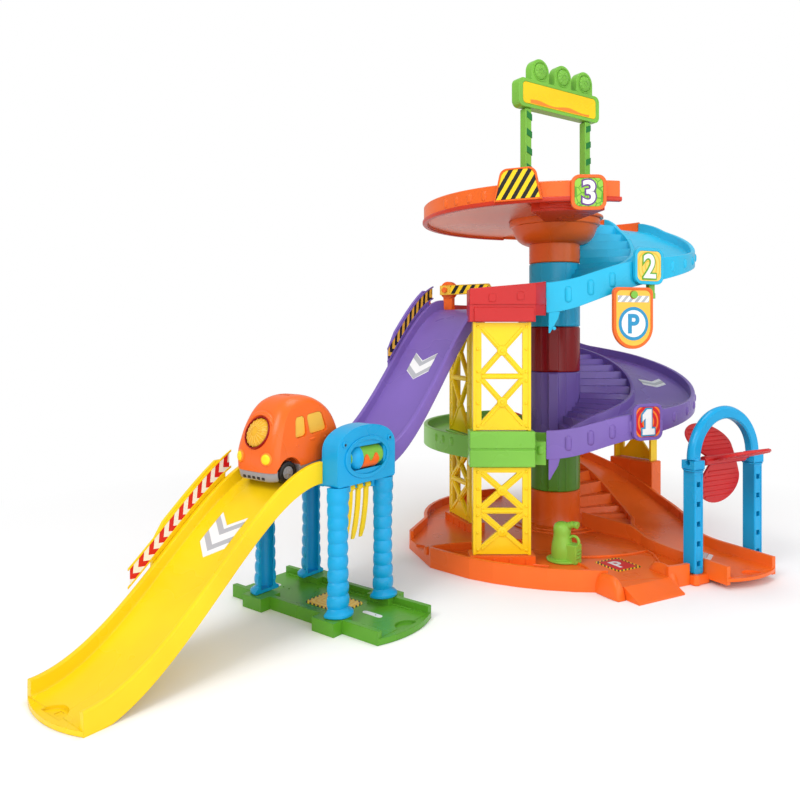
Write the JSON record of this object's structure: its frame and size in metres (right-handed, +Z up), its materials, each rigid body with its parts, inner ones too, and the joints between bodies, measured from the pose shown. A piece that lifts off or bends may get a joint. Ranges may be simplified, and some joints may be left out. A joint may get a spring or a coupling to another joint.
{
  "type": "toy parking garage",
  "caption": "Spiral toy parking garage: parking decks and ramps round a column, slides over a wash bridge, a spinner gate, signs and a small car.",
  "frame": {"origin": "centre of the footprint's bounding box, on the floor under the garage", "axes": "+Z up; +X to the right and +Y away from the viewer of the picture, with the long slide falling towards -X and -Y"},
  "size_m": [0.6666, 0.6592, 0.6],
  "materials": {
    "plastic_amber": "moulded amber plastic with a soft gloss",
    "plastic_black": "moulded black plastic with a soft gloss",
    "plastic_blue": "moulded blue plastic with a soft gloss",
    "plastic_dark_red": "moulded dark red plastic with a soft gloss",
    "plastic_gold": "moulded gold plastic with a soft gloss",
    "plastic_green": "moulded green plastic with a soft gloss",
    "plastic_grey": "moulded grey plastic with a soft gloss",
    "plastic_light_blue": "moulded light blue plastic with a soft gloss",
    "plastic_lime": "moulded lime plastic with a soft gloss",
    "plastic_orange": "moulded orange plastic with a soft gloss",
    "plastic_purple": "moulded purple plastic with a soft gloss",
    "plastic_red": "moulded red plastic with a soft gloss",
    "plastic_yellow": "moulded yellow plastic with a soft gloss"
  },
  "bodies": {
    "garage": {"arch_board": "plastic_lime", "arch_plate": "plastic_yellow", "arch_post_left": "plastic_lime", "arch_post_right": "plastic_lime", "barrier_stand": "plastic_orange", "base_deck": "plastic_orange", "base_ramp": "plastic_orange", "bridge_deck": "plastic_blue", "bridge_leg_far_left": "plastic_blue", "bridge_leg_far_right": "plastic_blue", "bridge_leg_near_left": "plastic_blue", "bridge_leg_near_right": "plastic_blue", "column_blue": "plastic_light_blue", "column_foot": "plastic_orange", "column_green": "plastic_green", "column_purple": "plastic_purple", "column_red": "plastic_dark_red", "fuel_pump": "plastic_green", "gate_arch": "plastic_blue", "gate_leg_left": "plastic_blue", "gate_leg_right": "plastic_blue", "green_track": "plastic_green", "hazard_sign": "plastic_orange", "lamp_lens_left": "plastic_green", "lamp_lens_middle": "plastic_green", "lamp_lens_right": "plastic_green", "level_1_deck": "plastic_lime", "level_2_deck": "plastic_red", "level_3_deck": "plastic_orange", "level_3_ramp": "plastic_orange", "parking_bracket": "plastic_lime", "purple_fence": "plastic_purple", "purple_slide": "plastic_purple", "sign_1": "plastic_purple", "sign_2": "plastic_light_blue", "sign_3": "plastic_orange", "spiral_1": "plastic_purple", "spiral_2": "plastic_light_blue", "strip_rod": "plastic_blue", "top_bowl": "plastic_orange", "truss_front_lower": "plastic_yellow", "truss_front_upper": "plastic_yellow", "truss_left_lower": "plastic_yellow", "truss_left_upper": "plastic_yellow", "truss_right": "plastic_yellow", "yellow_fence": "plastic_yellow", "yellow_slide": "plastic_yellow"},
    "gate_spinner": {"spinner": "plastic_red"},
    "swinging_sign": {"parking_sign": "plastic_orange"},
    "barrier": {"barrier_arm": "plastic_gold"},
    "roller": {"bridge_roller": "plastic_lime"},
    "strip_front": {"wash_strip_front": "plastic_yellow"},
    "strip_middle": {"wash_strip_middle": "plastic_yellow"},
    "strip_back": {"wash_strip_back": "plastic_yellow"},
    "car": {"car_body": "plastic_orange", "car_windows": "plastic_gold", "car_chassis": "plastic_grey"},
    "car_front_wheelset": {"car_front_wheels": "plastic_black"},
    "car_rear_wheelset": {"car_rear_wheels": "plastic_black"},
    "car_button": {"car_windscreen": "plastic_amber"}
  },
  "joints": [
    {"name": "gate_spinner_turn", "type": "hinge", "parent": "garage", "child": "gate_spinner", "pos_m": [0.27734, -0.01382, 0.125], "axis": [0.8829, 0.4695, 0], "continuous": true},
    {"name": "parking_sign_swing", "type": "hinge", "parent": "garage", "child": "swinging_sign", "pos_m": [0.17943, -0.0145, 0.301], "axis": [0.2639, -0.9646, 0], "range_deg": [-40, 40]},
    {"name": "barrier_lift", "type": "hinge", "parent": "garage", "child": "barrier", "pos_m": [-0.01138, 0.12428, 0.314], "axis": [-0.6157, -0.788, 0], "range_deg": [0, 80]},
    {"name": "bridge_roller_turn", "type": "hinge", "parent": "garage", "child": "roller", "pos_m": [-0.10591, -0.13072, 0.148], "axis": [-0.6157, -0.788, 0], "continuous": true},
    {"name": "wash_strip_front_swing", "type": "hinge", "parent": "garage", "child": "strip_front", "pos_m": [-0.11545, -0.13724, 0.12], "axis": [-0.6157, -0.788, 0], "range_deg": [-40, 40]},
    {"name": "wash_strip_middle_swing", "type": "hinge", "parent": "garage", "child": "strip_middle", "pos_m": [-0.10867, -0.12857, 0.12], "axis": [-0.6157, -0.788, 0], "range_deg": [-40, 40]},
    {"name": "wash_strip_back_swing", "type": "hinge", "parent": "garage", "child": "strip_back", "pos_m": [-0.1019, -0.1199, 0.12], "axis": [-0.6157, -0.788, 0], "range_deg": [-40, 40]},
    {"name": "car_lift_off", "type": "slide", "parent": "garage", "child": "car", "axis": [0, 0, 1], "range_m": [0, 0.08]},
    {"name": "car_front_wheels_turn", "type": "hinge", "parent": "car", "child": "car_front_wheelset", "pos_m": [-0.1857, -0.1557, 0.13985], "axis": [0.788, -0.6157, 0], "continuous": true},
    {"name": "car_rear_wheels_turn", "type": "hinge", "parent": "car", "child": "car_rear_wheelset", "pos_m": [-0.15389, -0.11497, 0.14562], "axis": [0.788, -0.6157, 0], "continuous": true},
    {"name": "car_windscreen_press", "type": "slide", "parent": "car", "child": "car_button", "axis": [0.5667, 0.7253, -0.391], "range_m": [0, 0.002], "stiffness_N_per_m": 300, "springref_m": -0.002}
  ]
}
